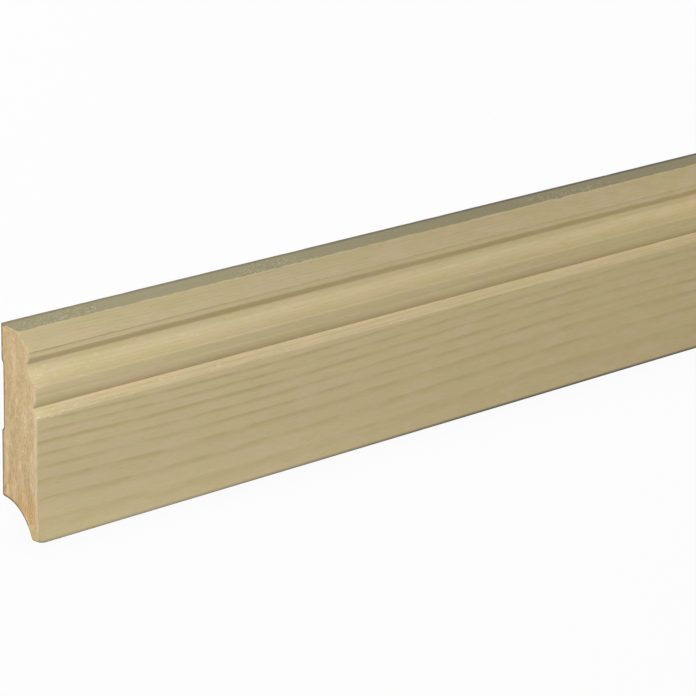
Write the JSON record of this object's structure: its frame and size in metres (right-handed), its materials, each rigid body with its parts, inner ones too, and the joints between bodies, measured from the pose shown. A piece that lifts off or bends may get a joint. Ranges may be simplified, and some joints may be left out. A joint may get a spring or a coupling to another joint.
{
  "type": "skirting board",
  "caption": "Length of raw planed softwood skirting board with a bevelled, coved and beaded top edge, a relief groove in its back and a hollow behind its foot.",
  "frame": {"origin": "middle of the board's footprint, on the floor that it lies on, at the plane of its two wall lands", "axes": "+X along the board, +Y from its floor edge to its moulded top edge, +Z from the wall side up to the face"},
  "size_m": [2.4, 0.07, 0.02],
  "materials": {
    "raw_softwood": "planed, untreated"
  },
  "bodies": {
    "root": {"skirting_board": "raw_softwood"}
  },
  "joints": []
}
